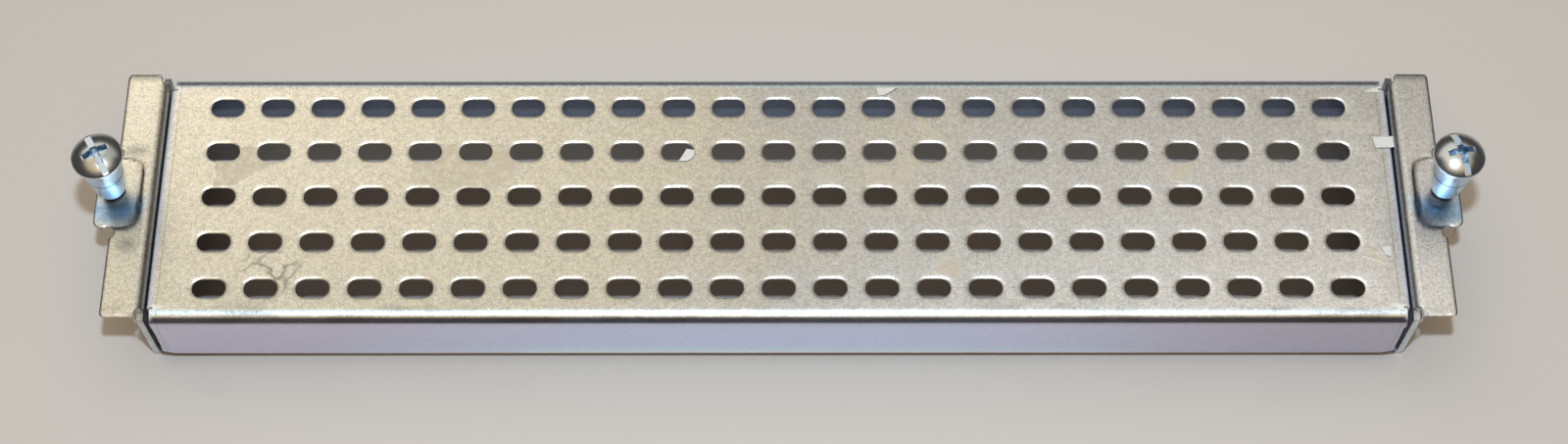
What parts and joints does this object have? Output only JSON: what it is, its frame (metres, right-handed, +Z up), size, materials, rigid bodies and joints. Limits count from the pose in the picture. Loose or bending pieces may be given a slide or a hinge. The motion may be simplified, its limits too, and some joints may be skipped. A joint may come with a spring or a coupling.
{
  "type": "slot cover plate",
  "caption": "Perforated blank cover for an equipment slot: a pan folded from plated sheet steel, with hemmed ends, ears with recessed pads and sprung captive screws.",
  "frame": {"origin": "Under the middle of the plate, level with the bottom of the two hems that it rests on.", "axes": "X along the length, Y towards the rear long side, Z up out of the perforated face."},
  "size_m": [0.2058, 0.0416, 0.0272],
  "materials": {
    "plated_sheet": "zinc plated, fine speckle, worn",
    "screw_steel": "bright plated, turned",
    "spring_steel": "drawn wire"
  },
  "bodies": {
    "panel": {"cover_panel": "plated_sheet"},
    "left_spring": {"left_screw_spring": "spring_steel"},
    "left_screw": {"left_captive_screw": "screw_steel"},
    "right_spring": {"right_screw_spring": "spring_steel"},
    "right_screw": {"right_captive_screw": "screw_steel"}
  },
  "joints": [
    {"name": "left_screw_push", "type": "slide", "parent": "panel", "child": "left_spring", "axis": [0, 0, 1], "range_m": [-0.0022, 0], "stiffness_N_per_m": 250, "springref_m": 0.001, "deforming": ["left_screw_spring"]},
    {"name": "left_screw_turn", "type": "hinge", "parent": "left_spring", "child": "left_screw", "pos_m": [-0.09915, 0, 0.0185], "axis": [0, 0, 1], "continuous": true},
    {"name": "right_screw_push", "type": "slide", "parent": "panel", "child": "right_spring", "axis": [0, 0, 1], "range_m": [-0.0022, 0], "stiffness_N_per_m": 250, "springref_m": 0.001, "deforming": ["right_screw_spring"]},
    {"name": "right_screw_turn", "type": "hinge", "parent": "right_spring", "child": "right_screw", "pos_m": [0.09915, 0, 0.0185], "axis": [0, 0, 1], "continuous": true}
  ]
}
